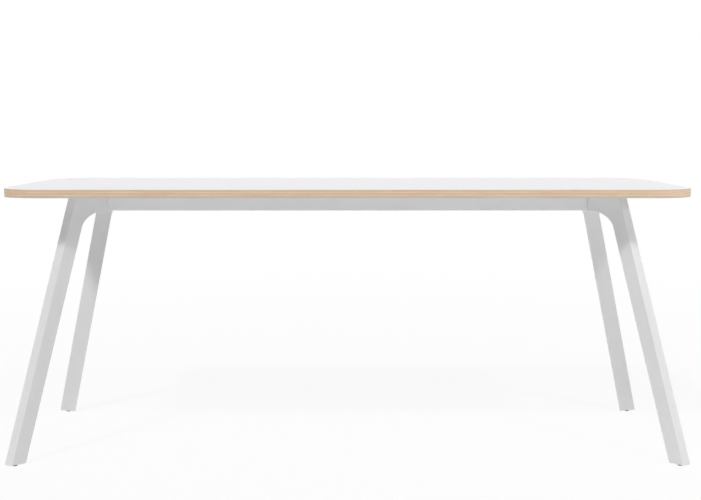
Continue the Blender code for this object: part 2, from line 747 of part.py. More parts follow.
def build_table():
    clear_scene()
    laminate = make_material("white_laminate", (0.84, 0.84, 0.855), 0.35, 0.0)
    plywood = make_material("plywood_edge", (0.66, 0.50, 0.35), 0.55, 0.0)
    backer = make_material("backing_laminate", (0.80, 0.80, 0.80), 0.50, 0.0)
    paint = make_material("white_powder_coat", (0.78, 0.78, 0.78), 0.45, 0.0)
    zinc = make_material("zinc_plate", (0.62, 0.62, 0.63), 0.35, 1.0)
    brass = make_material("brass", (0.72, 0.55, 0.28), 0.35, 1.0)
    plug_plastic = make_material("grey_plug", (0.35, 0.35, 0.36), 0.55, 0.0)
    glide_plastic = make_material("dark_glide", (0.06, 0.06, 0.065), 0.5, 0.0)

    table = add_empty("bar_table")
    build_top(table, laminate, plywood, backer)
    build_rails(table, paint)
    build_board_fixings(table, zinc, brass)
    build_joint_bolts(table, zinc)
    build_legs(table, paint, plug_plastic, brass, zinc, glide_plastic)


build_table()
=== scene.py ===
import math

import bmesh
import bpy
from mathutils import Matrix, Vector


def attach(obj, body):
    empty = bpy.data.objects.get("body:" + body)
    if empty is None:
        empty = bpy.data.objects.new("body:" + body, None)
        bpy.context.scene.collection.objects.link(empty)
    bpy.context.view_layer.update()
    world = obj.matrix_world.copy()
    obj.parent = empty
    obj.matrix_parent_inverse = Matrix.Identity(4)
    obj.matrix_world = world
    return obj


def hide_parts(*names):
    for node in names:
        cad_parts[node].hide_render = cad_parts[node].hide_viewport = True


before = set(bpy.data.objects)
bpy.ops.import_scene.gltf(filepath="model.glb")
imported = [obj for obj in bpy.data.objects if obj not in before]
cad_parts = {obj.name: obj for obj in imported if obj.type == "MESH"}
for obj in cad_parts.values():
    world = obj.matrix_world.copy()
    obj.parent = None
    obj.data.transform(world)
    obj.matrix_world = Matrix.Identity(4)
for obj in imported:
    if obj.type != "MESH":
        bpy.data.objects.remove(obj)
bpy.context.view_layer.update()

# Gap left between pieces that touch; all lengths are in metres
TOUCH = 0.0003

# Top: length, width, height of its face, and the thickness of each layer
TOP_LENGTH = 2.585
TOP_WIDTH = 1.000
TABLE_HEIGHT = 1.050
TOP_CORNER_RADIUS = 0.158
TOP_CORNER_STEPS = 40
CORE_THICKNESS = 0.029
SKIN_THICKNESS = 0.0008
CORE_ARRIS = 0.0006
SKIN_ARRIS = 0.00035
ARRIS_STEPS = 3

# Plies of the board's edge, how far they waver, and the dark band beside each laminate, part glue line and
# part painted shade
PLY_COUNT = 9
PLY_WAVER = 0.0016
SEAM_AND_SHADE_WIDTH = 0.0022

# Leg section on the floor plane, its lean, and the head that meets the rails
LEAN_LENGTHWISE = math.radians(13.0)
LEAN_CROSSWISE = math.radians(8.2)
FOOT_INSET_LENGTHWISE = 0.024
FOOT_INSET_CROSSWISE = 0.045
INNER_FACE_WIDTH = 0.0615
INNER_FACE_ANGLE = math.radians(45.0)
OUTER_FACE_WIDTH = 0.039
OUTER_FACE_ANGLE = math.radians(26.0)
OUTER_TIP_FLAT = 0.0025
LEG_EDGE_WIDTH = 0.0025
LEG_EDGE_STEPS = 4
TIP_EDGE_WIDTH = 0.0008
TIP_EDGE_STEPS = 2
LEG_WALL = 0.003
HEAD_REACH = 0.1365
HEAD_MARGIN = 0.002
HEAD_WALL = 0.006
HEAD_POCKET_DEPTH = 0.045
ARCH_RISE = 0.058
ARCH_DEPTH = 0.0365
ARCH_STEPS = 28
CAVITY_ROOF = 0.015

# Rail tubes, the spigots inside them, and the bolts that hold them
RAIL_HEIGHT = 0.066
RAIL_WIDTH = 0.030
RAIL_WALL = 0.002
RAIL_CORNER_RADIUS = 0.004
RAIL_CORNER_STEPS = 6
RAIL_SETBACK = 0.0015
SPIGOT_LENGTH = 0.040
SPIGOT_ROOT = 0.004
BOLT_SHANK = 0.004
BOLT_HEAD = 0.0065
BOLT_HEAD_HEIGHT = 0.0045
BOLT_GRIP = 0.012
BOLT_KEY = 0.005

# Tabs that hold the board down, with their screws
TABS_ON_RAIL = 3
TAB_LENGTH = 0.040
TAB_DROP = 0.028
TAB_DEPTH = 0.030
TAB_THICKNESS = 0.003
TAB_BEND = 0.003
TAB_BEND_STEPS = 6
TAB_CORNER = 0.005
TAB_CORNER_STEPS = 5
TAB_SCREW_DROP = 0.018
TAB_SCREW_DEPTH = 0.018
TAB_SHANK = 0.0025
TAB_HEAD = 0.0047
TAB_HEAD_HEIGHT = 0.003
TAB_GRIP = 0.006
TAB_KEY = 0.003
BOARD_SHANK = 0.003
BOARD_HEAD = 0.0055
BOARD_HEAD_HEIGHT = 0.0035
BOARD_GRIP = 0.012
BOARD_KEY = 0.004
INSERT_WALL = 0.0015
INSERT_LENGTH = 0.014

# Button-head screws: shares of the head's radius and height, and of the shank's radius
CROWN_SHARE = 0.55
RIM_SHARE = 0.3
RIM_EASE_SHARE = 0.25
SOCKET_SHARE = 0.6
SHANK_TIP_SHARE = 0.2
DOME_STEPS = 7

# Levelling feet
FOOT_GAP = 0.004
STUD_OFFSET = 0.0102
STUD_RADIUS = 0.004
STUD_LENGTH = 0.036
STUD_HEX = 0.010
STUD_HEX_HEIGHT = 0.0017
STUD_HEX_EASE = 0.0004
STUD_HEX_STEPS = 2
PAD_RADIUS = 0.009
PAD_BASE = 0.0015
PAD_ROUNDING = 0.0008
PAD_ROUNDING_STEPS = 5
PAD_RIM_ROUNDING = 0.0004
PAD_RIM_STEPS = 3
PAD_SOCKET_CLEARANCE = 0.0005
PLUG_HEIGHT = 0.022
PLUG_EDGE = 0.0008
FOOT_INSERT_WALL = 0.0011

# Thread of the studs: its tooth in shares of depth and pitch, and the turns that are cut off its ends
THREAD_PITCH = 0.00125
THREAD_DEPTH = 0.00065
THREAD_TOOTH = ((0.0, 0.0), (0.0, 0.12), (1.0, 0.46), (1.0, 0.66), (0.0, 1.0))
THREAD_STEPS = 24
THREAD_LEAD_IN = 1.5
THREAD_SPARE_TURNS = 3

# Steps round turned pieces and holes, limits used when points or faces are compared, and directions
HEXAGON = 6
SCREW_STEPS = 32
HOLE_STEPS = 32
PAD_STEPS = 64
SHADE_ANGLE = math.radians(32.0)
SAME_PLANE = math.radians(0.6)
MOSTLY = 0.5
MERGE = 0.00001
CUT = 0.000001
X_AXIS, Z_AXIS = 0, 2
UP = Vector((0.0, 0.0, 1.0))

# Heights of the stack
SKIN_TOP = TABLE_HEIGHT
CORE_TOP = SKIN_TOP - SKIN_THICKNESS - TOUCH
CORE_BOTTOM = CORE_TOP - CORE_THICKNESS
BACKER_TOP = CORE_BOTTOM - TOUCH
BACKER_BOTTOM = BACKER_TOP - SKIN_THICKNESS
FRAME_TOP = BACKER_BOTTOM - TOUCH
FRAME_BOTTOM = FRAME_TOP - RAIL_HEIGHT
FRAME_MIDDLE = (FRAME_TOP + FRAME_BOTTOM) / 2

# Plan of the leg on the floor plane, for the rear right corner, and its lean
RIDGE = Vector((TOP_LENGTH / 2 - FOOT_INSET_LENGTHWISE, TOP_WIDTH / 2 - FOOT_INSET_CROSSWISE))
INNER_DIRECTION = Vector((-math.cos(INNER_FACE_ANGLE), -math.sin(INNER_FACE_ANGLE)))
OUTER_DIRECTION = Vector((math.cos(OUTER_FACE_ANGLE), -math.sin(OUTER_FACE_ANGLE)))
INNER_TIP = RIDGE + INNER_DIRECTION * INNER_FACE_WIDTH
OUTER_TIP = RIDGE + OUTER_DIRECTION * OUTER_FACE_WIDTH
LEG_SECTION = (RIDGE, INNER_TIP, OUTER_TIP)
BACK_DIRECTION = (OUTER_TIP - INNER_TIP).normalized()
BACK_NORMAL = Vector((BACK_DIRECTION.y, -BACK_DIRECTION.x))
LEAN = Vector((-math.tan(LEAN_LENGTHWISE), -math.tan(LEAN_CROSSWISE)))
LEANING = Matrix.Identity(4)
LEANING.col[2] = (*LEAN, 1.0, 0.0)

# Plan of the head and the rails
HEAD_END = RIDGE + LEAN * FRAME_TOP + INNER_DIRECTION * HEAD_REACH
LOW_RIDGE = RIDGE + LEAN * FRAME_BOTTOM
HEAD_END_LOW_Y = LOW_RIDGE.y + INNER_DIRECTION.y / INNER_DIRECTION.x * (HEAD_END.x - LOW_RIDGE.x)
RAIL_OUTER_Y = min(HEAD_END.y, HEAD_END_LOW_Y) - RAIL_SETBACK
RAIL_INNER_Y = RAIL_OUTER_Y - RAIL_WIDTH
RAIL_MIDDLE_Y = (RAIL_OUTER_Y + RAIL_INNER_Y) / 2
RAIL_END_X = HEAD_END.x - TOUCH
HEAD_SIDE_Y = RAIL_INNER_Y - HEAD_MARGIN
CROSS_INNER_X = HEAD_END.x + HEAD_MARGIN
CROSS_OUTER_X = CROSS_INNER_X + RAIL_WIDTH
CROSS_MIDDLE_X = (CROSS_INNER_X + CROSS_OUTER_X) / 2
CROSS_END_Y = HEAD_SIDE_Y - TOUCH
HEAD_BACK = Vector((CROSS_OUTER_X + HEAD_MARGIN, HEAD_SIDE_Y))

# Axis of the levelling foot
TIP_HALF_ANGLE = (-INNER_DIRECTION).angle(BACK_DIRECTION) / 2
TIP_BISECTOR = (BACK_DIRECTION - INNER_DIRECTION).normalized()
FOOT_AXIS = INNER_TIP + LEAN * FOOT_GAP + TIP_BISECTOR * (STUD_OFFSET / math.sin(TIP_HALF_ANGLE))

# Lengths of the screws under their heads
BOLT_LENGTH = RAIL_WALL + TOUCH + BOLT_GRIP
TAB_SCREW_LENGTH = TAB_THICKNESS + TOUCH + TAB_GRIP
BOARD_SCREW_LENGTH = TAB_THICKNESS + TOUCH + SKIN_THICKNESS + TOUCH + BOARD_GRIP

# Corners, sides and ends with their signs, and the places of the tabs along a rail
CORNERS = {
    "front_left": (-1, -1),
    "front_right": (1, -1),
    "rear_left": (-1, 1),
    "rear_right": (1, 1),
}
SIDES = {"front": -1, "rear": 1}
ENDS = {"left": -1, "right": 1}
TAB_SPACING = 2 * RAIL_END_X / TABS_ON_RAIL
TAB_PLACES = [(place - (TABS_ON_RAIL - 1) / 2) * TAB_SPACING for place in range(TABS_ON_RAIL)]

# Camera: where it stands, how far it looks down, and its lens
CAMERA_PLACE = (0.0, -4.8296, 1.281)
CAMERA_PITCH = math.radians(84.039)
CAMERA_TURN = math.radians(-0.135)
CAMERA_LENS = 60.94
CAMERA_SENSOR = 36.0

# Studio light: two front lamps at one slope, one overhead, one behind, and a panel near the right end
AMBIENT = 0.163
KEY_SLOPE = 1.10
KEY_SPREAD = math.radians(6.0)
LEFT_KEY_STRENGTH = 1.02
LEFT_KEY_SIDE = math.radians(-25.0)
RIGHT_KEY_STRENGTH = 0.46
RIGHT_KEY_SIDE = math.radians(30.0)
OVERHEAD_STRENGTH = 0.91
OVERHEAD_HEIGHT = math.radians(90.0)
OVERHEAD_SPREAD = math.radians(135.0)
REAR_STRENGTH = 0.30
REAR_HEIGHT = math.radians(25.0)
REAR_SIDE = math.radians(180.0)
REAR_SPREAD = math.radians(25.0)
PANEL_PLACE = Vector((2.3, -1.0, 1.27))
PANEL_TARGET = Vector((1.1, -0.38, 0.85))
PANEL_WIDTH = 0.25
PANEL_HEIGHT = 0.15
PANEL_POWER = 3.7

# Studio floor: its paint, and how white it is seen under the table and far from it
FLOOR_PAINT = (0.95, 0.95, 0.95, 1.0)
FLOOR_SIZE = 60.0
FLOOR_GLOW = 0.89
FLOOR_FADE_START = 1.5
FLOOR_FADE_END = 7.0
WHITE = (1.0, 1.0, 1.0, 1.0)

# Band that most values of a noise lie in, and the sockets of a Mix node that mixes colours
NOISE_MIDDLE = (0.3, 0.7)
MIX_FACTOR, MIX_FIRST, MIX_SECOND, MIX_RESULT = 0, 6, 7, 2


class Nodes:
    """A node tree under construction, with helpers that add nodes and feed their sockets."""

    def __init__(self, tree):
        self.tree = tree

    def node(self, kind, settings=None, **inputs):
        """New node; an input is named as its socket is, with _ for a space."""
        made = self.tree.nodes.new("ShaderNode" + kind)
        for name, value in (settings or {}).items():
            setattr(made, name, value)
        for name, value in inputs.items():
            self.feed(made.inputs[name.replace("_", " ")], value)
        return made

    def feed(self, socket, value):
        """Link an output to a socket, or set a plain value on it."""
        if isinstance(value, bpy.types.NodeSocket):
            self.tree.links.new(value, socket)
        else:
            socket.default_value = value

    def math(self, operation, first, second=0.0, third=0.0):
        """Result of an operation on one, two or three values."""
        made = self.node("Math", {"operation": operation})
        for socket, value in zip(made.inputs, (first, second, third)):
            self.feed(socket, value)
        return made.outputs[0]

    def graded(self, factor, low, high, start=0.0, end=1.0):
        """A value that runs from low to high while the factor runs from start to end."""
        made = self.node(
            "MapRange",
            {"interpolation_type": "SMOOTHSTEP"},
            Value=factor,
            From_Min=start,
            From_Max=end,
            To_Min=low,
            To_Max=high,
        )
        return made.outputs["Result"]

    def either(self, factor, first, second):
        """The first shader where the factor is 0, and the second where it is 1."""
        made = self.node("MixShader", Fac=factor)
        for socket, shader in zip(made.inputs[1:], (first, second)):
            self.feed(socket, shader.outputs[0])
        return made.outputs[0]

    def seen_directly(self):
        """1 for rays that show a surface to the camera, straight on, mirrored or through glass."""
        path = self.node("LightPath").outputs
        seen = self.math("MAXIMUM", path["Is Camera Ray"], path["Is Glossy Ray"])
        return self.math("MAXIMUM", seen, path["Is Transmission Ray"])


class Finish(Nodes):
    """A finish under construction: its material, its shader, and helpers for its patterns."""

    def __init__(self, name):
        self.material = bpy.data.materials.new(name)
        self.material.use_nodes = True
        super().__init__(self.material.node_tree)
        self.shader = self.tree.nodes["Principled BSDF"]
        self.place = self.node("TexCoord").outputs["Object"]

    def noise(self, scale, detail=3.0, roughness=0.55, distortion=0.0):
        """Noise with a scale to the metre, one number for all axes or one for each."""
        stretch = scale if isinstance(scale, tuple) else (scale, scale, scale)
        made = self.node(
            "TexNoise",
            Vector=self.node("Mapping", Vector=self.place, Scale=stretch).outputs["Vector"],
            Scale=1.0,
            Detail=detail,
            Roughness=roughness,
            Distortion=distortion,
        )
        return made.outputs["Fac"]

    def shared(self, first, second, share):
        """Sum of a share of the first value and the rest of the second."""
        rest = self.math("MULTIPLY", second, 1.0 - share)
        return self.math("ADD", self.math("MULTIPLY", first, share), rest)

    def ramp(self, factor, *stops):
        """Colour that follows the factor through stops of a position and a colour."""
        made = self.node("ValToRGB", Fac=factor)
        elements = made.color_ramp.elements
        for element, (position, colour) in zip(elements, (stops[0], stops[-1])):
            element.position, element.color = position, (*colour, 1.0)
        for position, colour in stops[1:-1]:
            elements.new(position).color = (*colour, 1.0)
        return made.outputs["Color"]

    def mixed(self, factor, first, second, blend="MIX"):
        """Mix of two colours, each an output or three numbers."""
        made = self.node("Mix", {"data_type": "RGBA", "blend_type": blend})
        self.feed(made.inputs[MIX_FACTOR], factor)
        for socket, colour in ((MIX_FIRST, first), (MIX_SECOND, second)):
            self.feed(made.inputs[socket], (*colour, 1.0) if isinstance(colour, tuple) else colour)
        return made.outputs[MIX_RESULT]

    def gloss(self, noise, low, high):
        """Roughness that runs from low to high over the middle of a noise."""
        return self.graded(noise, low, high, *NOISE_MIDDLE)

    def done(self, colour, roughness, height, relief, metallic=0.0):
        """The finished material; its relief in metres follows a height."""
        normal = self.node("Bump", Height=height, Distance=relief, Strength=1.0).outputs["Normal"]
        self.feed(self.shader.inputs["Base Color"], colour)
        self.feed(self.shader.inputs["Roughness"], roughness)
        self.feed(self.shader.inputs["Normal"], normal)
        self.feed(self.shader.inputs["Metallic"], metallic)
        return self.material


def white_laminate():
    """Pressed laminate: a fine pearl grain, with a faint cloud in its tone."""
    f = Finish("white_laminate_sheet")
    cloud = f.noise(3.0, 2.0)
    grain = f.noise(1900.0, 2.0)
    tone = f.shared(cloud, grain, 0.6)
    colour = f.ramp(tone, (0.25, (0.846, 0.846, 0.868)), (0.75, (0.866, 0.866, 0.888)))
    return f.done(colour, f.gloss(f.noise(60.0, 4.0), 0.36, 0.44), grain, 0.000008)


def backing_laminate():
    """Matt balancing sheet under the board, with a soft sanded grain along its length."""
    f = Finish("backing_laminate_sheet")
    cloud = f.noise(2.5)
    sanding = f.noise((14.0, 900.0, 900.0))
    tone = f.shared(cloud, sanding, 0.5)
    colour = f.ramp(tone, (0.3, (0.76, 0.76, 0.755)), (0.7, (0.80, 0.80, 0.80)))
    return f.done(colour, f.gloss(sanding, 0.5, 0.62), sanding, 0.00001)


def plywood_edge():
    """Bare plywood edge: grain along one ply and across the next, streaks, dark glue lines, and a dark band
    at its top and bottom that is part glue line and part painted shade.
    """
    f = Finish("plywood_edge_plies")

    # The number of the ply at a point, and the place within that ply
    height = f.math("SUBTRACT", f.node("SeparateXYZ", Vector=f.place).outputs["Z"], CORE_BOTTOM)
    waver = f.math("SUBTRACT", f.noise((2.2, 2.2, 9.0), 2.0), 0.5)
    wavering = f.math("MULTIPLY_ADD", waver, PLY_WAVER, height)
    ply = f.math("DIVIDE", wavering, CORE_THICKNESS / PLY_COUNT)
    number = f.math("FLOOR", ply)
    within = f.math("FRACT", ply)

    # Even plies show long grain on the long sides and end grain at the ends, and odd plies the reverse
    odd = f.math("FLOORED_MODULO", number, 2.0)
    facing = f.node("SeparateXYZ", Vector=f.node("NewGeometry").outputs["Normal"])
    endwise = f.graded(f.math("ABSOLUTE", facing.outputs["X"]), 0.0, 1.0, 0.35, 0.9)
    across = f.math("ABSOLUTE", f.math("SUBTRACT", odd, endwise))
    streak = f.noise((7.0, 7.0, 480.0), 5.0, 0.62)
    long_grain = f.ramp(
        streak,
        (0.24, (0.616, 0.455, 0.313)),
        (0.45, (0.775, 0.61, 0.452)),
        (0.62, (0.853, 0.687, 0.526)),
        (0.85, (0.729, 0.568, 0.409)),
    )
    pores = f.noise((620.0, 620.0, 260.0), 3.0, 0.6)
    end_grain = f.ramp(
        pores,
        (0.25, (0.513, 0.377, 0.26)),
        (0.5, (0.673, 0.511, 0.366)),
        (0.8, (0.75, 0.589, 0.436)),
    )
    wood = f.mixed(across, long_grain, end_grain)

    # Each ply has its own tint, and the wood's hue drifts along the board
    spread = f.node("TexWhiteNoise", {"noise_dimensions": "1D"}, W=number).outputs["Value"]
    tints = f.ramp(spread, (0.0, (0.93, 0.92, 0.91)), (1.0, (1.05, 1.05, 1.05)))
    figure = f.noise((13.0, 13.0, 130.0), distortion=0.5)
    hues = f.ramp(
        figure,
        (0.30, (1.04, 0.955, 0.985)),
        (0.46, (0.97, 0.955, 0.95)),
        (0.60, (1.01, 1.025, 0.98)),
        (0.72, (1.04, 1.06, 0.99)),
    )
    drift = f.noise((4.5, 4.5, 55.0), 2.0)
    warmth = f.ramp(drift, (0.32, (1.035, 0.975, 0.985)), (0.68, (0.985, 1.02, 0.975)))
    for tone in (tints, hues, warmth):
        wood = f.mixed(1.0, wood, tone, "MULTIPLY")

    # Glue lines between the plies, and the darker band beside each laminate, part glue line and part
    # painted shade along the edge's top and bottom
    line = f.graded(f.math("ABSOLUTE", f.math("SUBTRACT", within, 0.5)), 0.0, 0.55, 0.46, 0.5)
    half = CORE_THICKNESS / 2
    from_middle = f.math("ABSOLUTE", f.math("SUBTRACT", height, half))
    seam_and_shade = f.graded(from_middle, 0.0, 0.6, half - SEAM_AND_SHADE_WIDTH, half)
    glue_and_shade = f.math("MAXIMUM", line, seam_and_shade)
    colour = f.mixed(glue_and_shade, wood, (0.36, 0.25, 0.15))
    surface = f.math("MULTIPLY_ADD", glue_and_shade, -0.6, f.mixed(across, streak, pores))
    return f.done(colour, f.gloss(pores, 0.5, 0.66), surface, 0.00006)


def powder_coat(name, low, high):
    """White powder coat: satin, with the slight ripple of a sprayed and baked film."""
    f = Finish(name)
    ripple = f.noise(620.0, 2.0, 0.5)
    speck = f.noise(2600.0, 1.0)
    cloud = f.noise(5.0)
    tone = f.shared(cloud, speck, 0.55)
    colour = f.ramp(tone, (0.3, (low, low, low)), (0.7, (high, high, high)))
    return f.done(colour, f.gloss(f.noise(90.0), 0.42, 0.50), ripple, 0.000025)


def zinc_plate():
    """Bright zinc plating with a fine brushed tone and duller patches."""
    f = Finish("zinc_plate_bright")
    patch = f.noise(260.0, 4.0, 0.6)
    fine = f.noise(1800.0, 2.0)
    colour = f.ramp(
        patch,
        (0.3, (0.56, 0.565, 0.58)),
        (0.55, (0.66, 0.66, 0.665)),
        (0.75, (0.70, 0.69, 0.66)),
    )
    return f.done(colour, f.gloss(patch, 0.26, 0.42), fine, 0.00001, metallic=1.0)


def brass():
    """Turned brass with a light tarnish."""
    f = Finish("brass_turned")
    tarnish = f.noise(340.0, 4.0, 0.6)
    rings = f.noise((300.0, 300.0, 3200.0), 2.0)
    colour = f.ramp(
        tarnish,
        (0.3, (0.56, 0.40, 0.19)),
        (0.6, (0.74, 0.56, 0.28)),
        (0.8, (0.80, 0.63, 0.34)),
    )
    return f.done(colour, f.gloss(tarnish, 0.28, 0.45), rings, 0.00001, metallic=1.0)


def grey_plug():
    """Moulded grey nylon with a spark-eroded grain."""
    f = Finish("grey_plug_nylon")
    grain = f.noise(1500.0, 3.0, 0.6)
    cloud = f.noise(45.0)
    colour = f.ramp(cloud, (0.3, (0.325, 0.325, 0.335)), (0.7, (0.375, 0.375, 0.385)))
    return f.done(colour, f.gloss(grain, 0.48, 0.62), grain, 0.00003)


def dark_glide():
    """Dark nylon glide, scuffed paler where it rubs on the floor."""
    f = Finish("dark_glide_nylon")
    grain = f.noise(1500.0, 3.0, 0.6)
    scuff = f.graded(f.noise((900.0, 220.0, 900.0), 5.0, 0.65), 0.0, 1.0, 0.45, 0.7)
    height = f.node("SeparateXYZ", Vector=f.place).outputs["Z"]
    worn = f.math("MULTIPLY", f.graded(height, 1.0, 0.0, 0.0, PAD_ROUNDING), scuff)
    dark = f.ramp(grain, (0.3, (0.05, 0.05, 0.055)), (0.7, (0.075, 0.075, 0.08)))
    colour = f.mixed(worn, dark, (0.20, 0.195, 0.19))
    return f.done(colour, f.gloss(grain, 0.42, 0.58), grain, 0.00003)


FINISHES = {
    "white_laminate": white_laminate(),
    "plywood_edge": plywood_edge(),
    "backing_laminate": backing_laminate(),
    "white_powder_coat": powder_coat("white_powder_coat_casting", 0.775, 0.805),
    "zinc_plate": zinc_plate(),
    "brass": brass(),
    "grey_plug": grey_plug(),
    "dark_glide": dark_glide(),
}
# The rails get a paler copy of the castings' powder coat: painted light, standing in for the brighter light
# the rails catch
PAINTED_LIGHT_RAIL_COAT = powder_coat("white_powder_coat_tube_painted_light", 0.855, 0.88)


def add_piece(name, mesh, slot, node, body="table", finish=None):
    """Show a piece in place of the solid that it stands for."""
    mesh.name = name
    mesh.materials.clear()
    mesh.materials.append(finish or FINISHES[slot])
    mesh.shade_smooth()
    mesh.set_sharp_from_angle(angle=SHADE_ANGLE)
    piece = bpy.data.objects.new(name, mesh)
    bpy.context.scene.collection.objects.link(piece)
    even = piece.modifiers.new("even_shading", "WEIGHTED_NORMAL")
    even.keep_sharp = True
    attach(piece, body)
    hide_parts(node)


def carry_over(node, slot):
    """Give its finish to a solid that is shown as it is."""
    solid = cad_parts[node]
    solid.data.materials.clear()
    solid.data.materials.append(FINISHES[slot])


def to_mesh(shape):
    """Merge doubled points, turn the faces outwards and make a mesh of a shape."""
    bmesh.ops.remove_doubles(shape, verts=shape.verts, dist=CUT)
    bmesh.ops.recalc_face_normals(shape, faces=shape.faces)
    mesh = bpy.data.meshes.new("shape")
    shape.to_mesh(mesh)
    shape.free()
    return mesh


def group(meshes):
    """One mesh of several that lie apart."""
    shape = bmesh.new()
    for mesh in meshes:
        shape.from_mesh(mesh)
    grouped = bpy.data.meshes.new("group")
    shape.to_mesh(grouped)
    shape.free()
    return grouped


def combine(mesh, tool, operation):
    """Join a mesh with another, or cut the other out of it."""
    body = bpy.data.objects.new("body", mesh)
    knife = bpy.data.objects.new("knife", tool)
    for item in (body, knife):
        bpy.context.scene.collection.objects.link(item)
    modifier = body.modifiers.new("combine", "BOOLEAN")
    modifier.operation = operation
    modifier.object = knife
    graph = bpy.context.evaluated_depsgraph_get()
    result = bpy.data.meshes.new_from_object(body.evaluated_get(graph))
    for item in (body, knife):
        bpy.data.objects.remove(item, do_unlink=True)
    return result


def without(mesh, *tools):
    """What is left of a mesh when others are cut out of it."""
    return combine(mesh, group(tools), "DIFFERENCE")


def mirrored(mesh, x_sign, y_sign):
    """Copy of a mesh, mirrored into another corner or side."""
    copy = mesh.copy()
    copy.transform(Matrix.Diagonal((x_sign, y_sign, 1.0, 1.0)))
    if x_sign * y_sign < 0:
        copy.flip_normals()
    return copy


def placed(mesh, matrix):
    """Copy of a mesh, moved or turned by a matrix."""
    copy = mesh.copy()
    copy.transform(matrix)
    return copy


def block(low, high):
    """Closed block between two corners."""
    low, high = Vector(low), Vector(high)
    shape = bmesh.new()
    bmesh.ops.create_cube(shape, size=1.0)
    bmesh.ops.scale(shape, vec=high - low, verts=shape.verts)
    bmesh.ops.translate(shape, vec=(low + high) / 2, verts=shape.verts)
    return shape


def round_over(shape, chosen, size, steps, kind="OFFSET", clamp=True, affect="EDGES"):
    """Round the chosen edges or corners of a shape."""
    bmesh.ops.bevel(
        shape,
        geom=chosen,
        offset=size,
        offset_type=kind,
        segments=steps,
        profile=0.5,
        affect=affect,
        clamp_overlap=clamp,
        material=-1,
    )


def edges_along(shape, axis):
    """Edges that run parallel to one of the main axes."""
    found = []
    for edge in shape.edges:
        run = (edge.verts[1].co - edge.verts[0].co).normalized()
        if abs(run[axis]) > math.cos(SAME_PLANE):
            found.append(edge)
    return found


def flat_edges(shape, side):
    """Outline of the faces that look straight up (side 1) or straight down (side -1)."""
    return [
        edge
        for edge in shape.edges
        if any(face.normal.z * side > math.cos(SAME_PLANE) for face in edge.link_faces)
    ]


def whole(shape):
    """All points, edges and faces of a shape."""
    return shape.verts[:] + shape.edges[:] + shape.faces[:]


def grown_points(grown):
    """The points that an extrusion added."""
    return [item for item in grown["geom"] if isinstance(item, bmesh.types.BMVert)]


def cut_away(shape, point, normal):
    """Cut a closed shape with a plane, keep the side behind the normal and close the cut."""
    bmesh.ops.bisect_plane(
        shape, geom=whole(shape), dist=CUT, plane_co=point, plane_no=normal, clear_outer=True
    )
    bmesh.ops.holes_fill(shape, edges=[edge for edge in shape.edges if edge.is_boundary])


def drawn(profile):
    """New shape with an outline of radii and heights, and that outline's points and edges."""
    shape = bmesh.new()
    points = [shape.verts.new((radius, 0.0, height)) for radius, height in profile]
    edges = [shape.edges.new(pair) for pair in zip(points, points[1:])]
    return shape, points + edges


def turned(profile, steps):
    """Spin an outline of radii and heights round the Z axis."""
    shape, outline = drawn(profile)
    bmesh.ops.spin(
        shape, geom=outline, axis=UP, cent=(0.0, 0.0, 0.0), angle=math.tau, steps=steps, use_merge=True
    )
    return to_mesh(shape)


def quarter_turn(steps):
    """Sine and cosine at even steps through a quarter turn."""
    angles = [step / steps * math.pi / 2 for step in range(steps + 1)]
    return [(math.sin(angle), math.cos(angle)) for angle in angles]


def hexagon_corner(across_flats):
    """Distance from the middle of a hexagon to its corners."""
    return across_flats / math.sqrt(3)


def bar(radius, start, end, steps):
    """Round bar between two points."""
    run = Vector(end) - Vector(start)
    shape = bmesh.new()
    bmesh.ops.create_cone(
        shape, cap_ends=True, segments=steps, radius1=radius, radius2=radius, depth=run.length
    )
    turn = run.to_track_quat("Z", "Y").to_matrix().to_4x4()
    middle = (Vector(start) + Vector(end)) / 2
    bmesh.ops.transform(shape, matrix=Matrix.Translation(middle) @ turn, verts=shape.verts)
    return to_mesh(shape)


def tab_seat(place, y_sign):
    """Where a tab's screw seats on the tab, and the way it points into the rail."""
    face = RAIL_INNER_Y - TOUCH - TAB_THICKNESS
    return Vector((place, y_sign * face, FRAME_TOP - TAB_SCREW_DROP)), Vector((0, y_sign, 0))


def board_seat(place, y_sign):
    """Where a tab's screw seats under the tab, and the way it points into the board."""
    across = RAIL_INNER_Y - TOUCH - TAB_SCREW_DEPTH
    return Vector((place, y_sign * across, FRAME_TOP - TAB_THICKNESS)), UP


def rail_bolt_seat(x_sign, y_sign):
    """Where a corner's bolt seats on its long rail's inner side, and the way it points into the spigot."""
    along = RAIL_END_X - SPIGOT_LENGTH / 2
    return Vector((x_sign * along, y_sign * RAIL_INNER_Y, FRAME_MIDDLE)), Vector((0, y_sign, 0))


def cross_bolt_seat(x_sign, y_sign):
    """Where a corner's bolt seats on its cross rail's inner side, and the way it points into the spigot."""
    across = CROSS_END_Y - SPIGOT_LENGTH / 2
    return Vector((x_sign * CROSS_INNER_X, y_sign * across, FRAME_MIDDLE)), Vector((x_sign, 0, 0))


def hole_for(seat, shank, depth):
    """Bar to drill a screw's hole with, from clear of its seat."""
    point, direction = seat
    return bar(shank + TOUCH, point - direction * BOLT_HEAD_HEIGHT, point + direction * depth, HOLE_STEPS)


def board_sheet(bottom, top):
    """Sheet with the outline of the table top."""
    shape = block((-TOP_LENGTH / 2, -TOP_WIDTH / 2, bottom), (TOP_LENGTH / 2, TOP_WIDTH / 2, top))
    round_over(shape, edges_along(shape, Z_AXIS), TOP_CORNER_RADIUS, TOP_CORNER_STEPS)
    return shape


